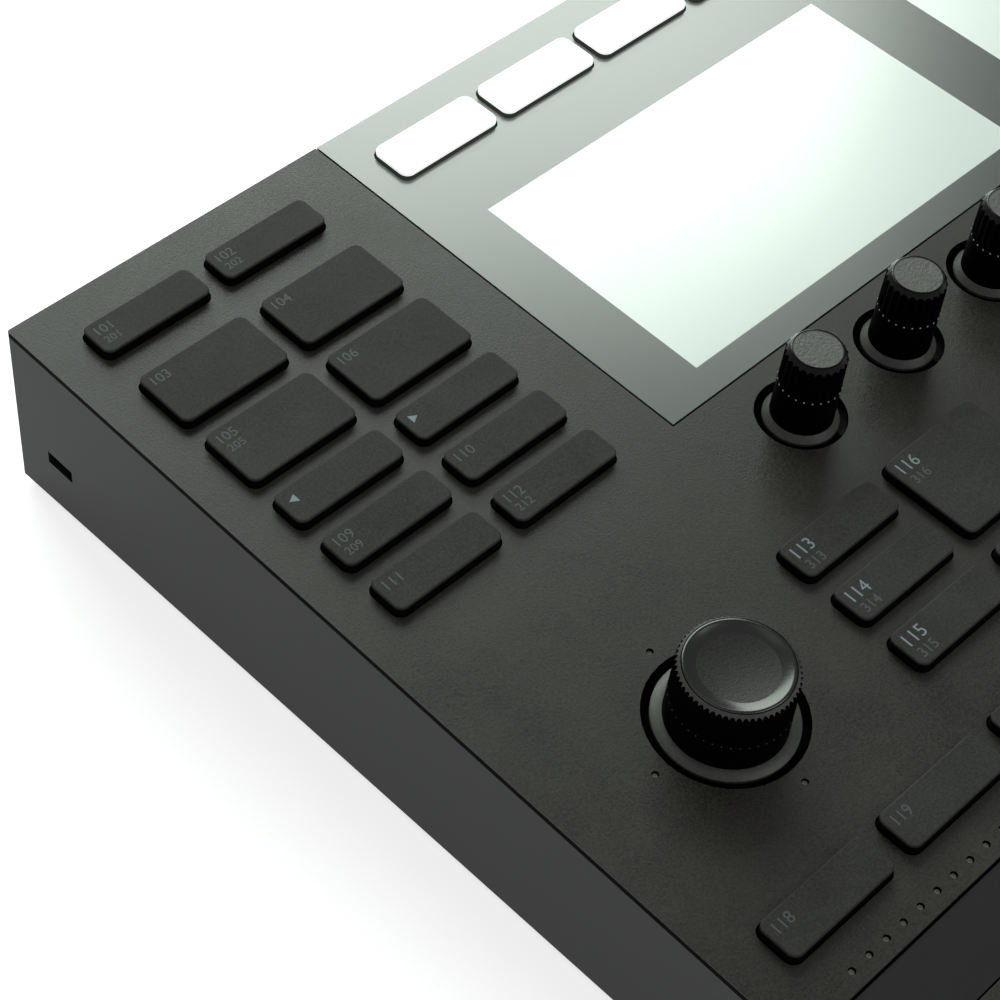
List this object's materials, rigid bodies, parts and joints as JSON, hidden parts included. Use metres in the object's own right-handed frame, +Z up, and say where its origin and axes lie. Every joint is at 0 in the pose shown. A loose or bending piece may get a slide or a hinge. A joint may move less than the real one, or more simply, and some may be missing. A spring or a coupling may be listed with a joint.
{
  "type": "midi pad controller",
  "caption": "Desktop pad controller: wedge case with a glass display panel, press keys, endless knobs, a tilting push encoder, a touch strip and a field of rubber pads.",
  "frame": {"origin": "centre of the bounding box at the level of the feet's undersides", "axes": "+X to the user's right, +Y to the rear with the sockets, +Z up"},
  "size_m": [0.32, 0.3024, 0.0532],
  "materials": {
    "top_plate": "matte dark anodised, brushed fine",
    "side_frame": "fine texture, dark grey",
    "base_plate": "black powder coat",
    "case_screws": "black zinc",
    "rubber_feet": "matte black",
    "rear_panel": "fine texture, black",
    "audio_jacks": "black",
    "usb_and_power_sockets": "black",
    "display_glass": "polished, opaque printed back",
    "display_frame": "black",
    "display_modules": "pale, unlit",
    "control_board": "green circuit board",
    "board_spacers": "nylon",
    "pad_mat": "matte dark grey silicone",
    "touch_strip": "smoked",
    "indicator_lights": "clear, unlit",
    "knob_encoders": "plain",
    "block_key_1": "soft-touch",
    "display_key_1": "white translucent",
    "knob_1": "black, fluted, grained top",
    "gimbal_ring": "acetal",
    "encoder_shaft": "turned",
    "encoder_cap": "black anodised, knurled"
  },
  "bodies": {
    "case": {"top_plate": "top_plate", "side_frame": "side_frame", "base_plate": "base_plate", "case_screws": "case_screws", "rubber_feet": "rubber_feet", "rear_panel": "rear_panel", "audio_jacks": "audio_jacks", "midi_sockets": "audio_jacks", "usb_and_power_sockets": "usb_and_power_sockets", "display_glass": "display_glass", "display_frame": "display_frame", "display_modules": "display_modules", "control_board": "control_board", "pad_board": "control_board", "board_spacers": "board_spacers", "pad_mat": "pad_mat", "touch_strip": "touch_strip", "indicator_lights": "indicator_lights", "key_switches": "display_frame", "knob_encoders": "knob_encoders", "joystick_housing": "display_frame"},
    "block_key_1": {"block_key_1": "block_key_1"},
    "block_key_2": {"block_key_2": "block_key_1"},
    "block_key_3": {"block_key_3": "block_key_1"},
    "block_key_4": {"block_key_4": "block_key_1"},
    "block_key_5": {"block_key_5": "block_key_1"},
    "block_key_6": {"block_key_6": "block_key_1"},
    "block_key_7": {"block_key_7": "block_key_1"},
    "block_key_8": {"block_key_8": "block_key_1"},
    "block_key_9": {"block_key_9": "block_key_1"},
    "block_key_10": {"block_key_10": "block_key_1"},
    "block_key_11": {"block_key_11": "block_key_1"},
    "block_key_12": {"block_key_12": "block_key_1"},
    "display_key_1": {"display_key_1": "display_key_1"},
    "display_key_2": {"display_key_2": "display_key_1"},
    "display_key_3": {"display_key_3": "display_key_1"},
    "display_key_4": {"display_key_4": "display_key_1"},
    "encoder_key_1": {"encoder_key_1": "block_key_1"},
    "encoder_key_2": {"encoder_key_2": "block_key_1"},
    "encoder_key_3": {"encoder_key_3": "block_key_1"},
    "high_key": {"high_key": "block_key_1"},
    "low_key": {"low_key": "block_key_1"},
    "right_display_keys": {"right_display_keys": "display_key_1"},
    "strip_keys": {"strip_keys": "block_key_1"},
    "lower_keys": {"lower_keys": "block_key_1"},
    "column_keys": {"column_keys": "block_key_1"},
    "mode_keys": {"mode_keys": "block_key_1"},
    "knob_1": {"knob_1": "knob_1"},
    "knob_2": {"knob_2": "knob_1"},
    "knob_3": {"knob_3": "knob_1"},
    "knob_4": {"knob_4": "knob_1"},
    "knob_5": {"knob_5": "knob_1"},
    "knob_6": {"knob_6": "knob_1"},
    "knob_7": {"knob_7": "knob_1"},
    "knob_8": {"knob_8": "knob_1"},
    "power_button": {"power_button": "usb_and_power_sockets"},
    "gimbal_ring": {"gimbal_ring": "gimbal_ring"},
    "gimbal_block": {"gimbal_block": "gimbal_ring"},
    "encoder_shaft": {"encoder_shaft": "encoder_shaft"},
    "encoder_cap": {"encoder_cap": "encoder_cap"}
  },
  "joints": [
    {"name": "block_key_1_press", "type": "slide", "parent": "case", "child": "block_key_1", "axis": [0, 0.0458, -0.999], "range_m": [0, 0.0008], "stiffness_N_per_m": 600, "springref_m": -0.001},
    {"name": "block_key_2_press", "type": "slide", "parent": "case", "child": "block_key_2", "axis": [0, 0.0458, -0.999], "range_m": [0, 0.0008], "stiffness_N_per_m": 600, "springref_m": -0.001},
    {"name": "block_key_3_press", "type": "slide", "parent": "case", "child": "block_key_3", "axis": [0, 0.0458, -0.999], "range_m": [0, 0.0008], "stiffness_N_per_m": 600, "springref_m": -0.001},
    {"name": "block_key_4_press", "type": "slide", "parent": "case", "child": "block_key_4", "axis": [0, 0.0458, -0.999], "range_m": [0, 0.0008], "stiffness_N_per_m": 600, "springref_m": -0.001},
    {"name": "block_key_5_press", "type": "slide", "parent": "case", "child": "block_key_5", "axis": [0, 0.0458, -0.999], "range_m": [0, 0.0008], "stiffness_N_per_m": 600, "springref_m": -0.001},
    {"name": "block_key_6_press", "type": "slide", "parent": "case", "child": "block_key_6", "axis": [0, 0.0458, -0.999], "range_m": [0, 0.0008], "stiffness_N_per_m": 600, "springref_m": -0.001},
    {"name": "block_key_7_press", "type": "slide", "parent": "case", "child": "block_key_7", "axis": [0, 0.0458, -0.999], "range_m": [0, 0.0008], "stiffness_N_per_m": 600, "springref_m": -0.001},
    {"name": "block_key_8_press", "type": "slide", "parent": "case", "child": "block_key_8", "axis": [0, 0.0458, -0.999], "range_m": [0, 0.0008], "stiffness_N_per_m": 600, "springref_m": -0.001},
    {"name": "block_key_9_press", "type": "slide", "parent": "case", "child": "block_key_9", "axis": [0, 0.0458, -0.999], "range_m": [0, 0.0008], "stiffness_N_per_m": 600, "springref_m": -0.001},
    {"name": "block_key_10_press", "type": "slide", "parent": "case", "child": "block_key_10", "axis": [0, 0.0458, -0.999], "range_m": [0, 0.0008], "stiffness_N_per_m": 600, "springref_m": -0.001},
    {"name": "block_key_11_press", "type": "slide", "parent": "case", "child": "block_key_11", "axis": [0, 0.0458, -0.999], "range_m": [0, 0.0008], "stiffness_N_per_m": 600, "springref_m": -0.001},
    {"name": "block_key_12_press", "type": "slide", "parent": "case", "child": "block_key_12", "axis": [0, 0.0458, -0.999], "range_m": [0, 0.0008], "stiffness_N_per_m": 600, "springref_m": -0.001},
    {"name": "display_key_1_press", "type": "slide", "parent": "case", "child": "display_key_1", "axis": [0, 0.0458, -0.999], "range_m": [0, 0.0008], "stiffness_N_per_m": 600, "springref_m": -0.001},
    {"name": "display_key_2_press", "type": "slide", "parent": "case", "child": "display_key_2", "axis": [0, 0.0458, -0.999], "range_m": [0, 0.0008], "stiffness_N_per_m": 600, "springref_m": -0.001},
    {"name": "display_key_3_press", "type": "slide", "parent": "case", "child": "display_key_3", "axis": [0, 0.0458, -0.999], "range_m": [0, 0.0008], "stiffness_N_per_m": 600, "springref_m": -0.001},
    {"name": "display_key_4_press", "type": "slide", "parent": "case", "child": "display_key_4", "axis": [0, 0.0458, -0.999], "range_m": [0, 0.0008], "stiffness_N_per_m": 600, "springref_m": -0.001},
    {"name": "encoder_key_1_press", "type": "slide", "parent": "case", "child": "encoder_key_1", "axis": [0, 0.0458, -0.999], "range_m": [0, 0.0008], "stiffness_N_per_m": 600, "springref_m": -0.001},
    {"name": "encoder_key_2_press", "type": "slide", "parent": "case", "child": "encoder_key_2", "axis": [0, 0.0458, -0.999], "range_m": [0, 0.0008], "stiffness_N_per_m": 600, "springref_m": -0.001},
    {"name": "encoder_key_3_press", "type": "slide", "parent": "case", "child": "encoder_key_3", "axis": [0, 0.0458, -0.999], "range_m": [0, 0.0008], "stiffness_N_per_m": 600, "springref_m": -0.001},
    {"name": "high_key_press", "type": "slide", "parent": "case", "child": "high_key", "axis": [0, 0.0458, -0.999], "range_m": [0, 0.0008], "stiffness_N_per_m": 600, "springref_m": -0.001},
    {"name": "low_key_press", "type": "slide", "parent": "case", "child": "low_key", "axis": [0, 0.0458, -0.999], "range_m": [0, 0.0008], "stiffness_N_per_m": 600, "springref_m": -0.001},
    {"name": "right_display_keys_press", "type": "slide", "parent": "case", "child": "right_display_keys", "axis": [0, 0.0458, -0.999], "range_m": [0, 0.0008], "stiffness_N_per_m": 1500, "springref_m": -0.001},
    {"name": "strip_keys_press", "type": "slide", "parent": "case", "child": "strip_keys", "axis": [0, 0.0458, -0.999], "range_m": [0, 0.0008], "stiffness_N_per_m": 1500, "springref_m": -0.001},
    {"name": "lower_keys_press", "type": "slide", "parent": "case", "child": "lower_keys", "axis": [0, 0.0458, -0.999], "range_m": [0, 0.0008], "stiffness_N_per_m": 1500, "springref_m": -0.001},
    {"name": "column_keys_press", "type": "slide", "parent": "case", "child": "column_keys", "axis": [0, 0.0458, -0.999], "range_m": [0, 0.0008], "stiffness_N_per_m": 1500, "springref_m": -0.001},
    {"name": "mode_keys_press", "type": "slide", "parent": "case", "child": "mode_keys", "axis": [0, 0.0458, -0.999], "range_m": [0, 0.0008], "stiffness_N_per_m": 1500, "springref_m": -0.001},
    {"name": "knob_1_turn", "type": "hinge", "parent": "case", "child": "knob_1", "pos_m": [-0.0662, 0.04225, 0.03604], "axis": [0, -0.0458, 0.999], "continuous": true},
    {"name": "knob_2_turn", "type": "hinge", "parent": "case", "child": "knob_2", "pos_m": [-0.0386, 0.04225, 0.03604], "axis": [0, -0.0458, 0.999], "continuous": true},
    {"name": "knob_3_turn", "type": "hinge", "parent": "case", "child": "knob_3", "pos_m": [-0.011, 0.04225, 0.03604], "axis": [0, -0.0458, 0.999], "continuous": true},
    {"name": "knob_4_turn", "type": "hinge", "parent": "case", "child": "knob_4", "pos_m": [0.0166, 0.04225, 0.03604], "axis": [0, -0.0458, 0.999], "continuous": true},
    {"name": "knob_5_turn", "type": "hinge", "parent": "case", "child": "knob_5", "pos_m": [0.0453, 0.04225, 0.03604], "axis": [0, -0.0458, 0.999], "continuous": true},
    {"name": "knob_6_turn", "type": "hinge", "parent": "case", "child": "knob_6", "pos_m": [0.0729, 0.04225, 0.03604], "axis": [0, -0.0458, 0.999], "continuous": true},
    {"name": "knob_7_turn", "type": "hinge", "parent": "case", "child": "knob_7", "pos_m": [0.1005, 0.04225, 0.03604], "axis": [0, -0.0458, 0.999], "continuous": true},
    {"name": "knob_8_turn", "type": "hinge", "parent": "case", "child": "knob_8", "pos_m": [0.1281, 0.04225, 0.03604], "axis": [0, -0.0458, 0.999], "continuous": true},
    {"name": "power_button_press", "type": "slide", "parent": "case", "child": "power_button", "axis": [0, -0.999, -0.0458], "range_m": [0, 0.001], "stiffness_N_per_m": 600, "springref_m": -0.001},
    {"name": "encoder_tilt_rear_front", "type": "hinge", "parent": "case", "child": "gimbal_ring", "pos_m": [-0.1248, 0.00819, 0.02798], "axis": [1, 0, 0], "range_deg": [-3, 3], "stiffness_Nm_per_rad": 0.4},
    {"name": "encoder_tilt_left_right", "type": "hinge", "parent": "gimbal_ring", "child": "gimbal_block", "pos_m": [-0.1248, 0.00819, 0.02798], "axis": [0, 0.999, 0.0458], "range_deg": [-3, 3], "stiffness_Nm_per_rad": 0.4},
    {"name": "encoder_press", "type": "slide", "parent": "gimbal_block", "child": "encoder_shaft", "axis": [0, 0.0458, -0.999], "range_m": [0, 0.0005], "stiffness_N_per_m": 900, "springref_m": -0.001},
    {"name": "encoder_turn", "type": "hinge", "parent": "encoder_shaft", "child": "encoder_cap", "pos_m": [-0.1248, 0.00789, 0.03447], "axis": [0, -0.0458, 0.999], "continuous": true}
  ]
}
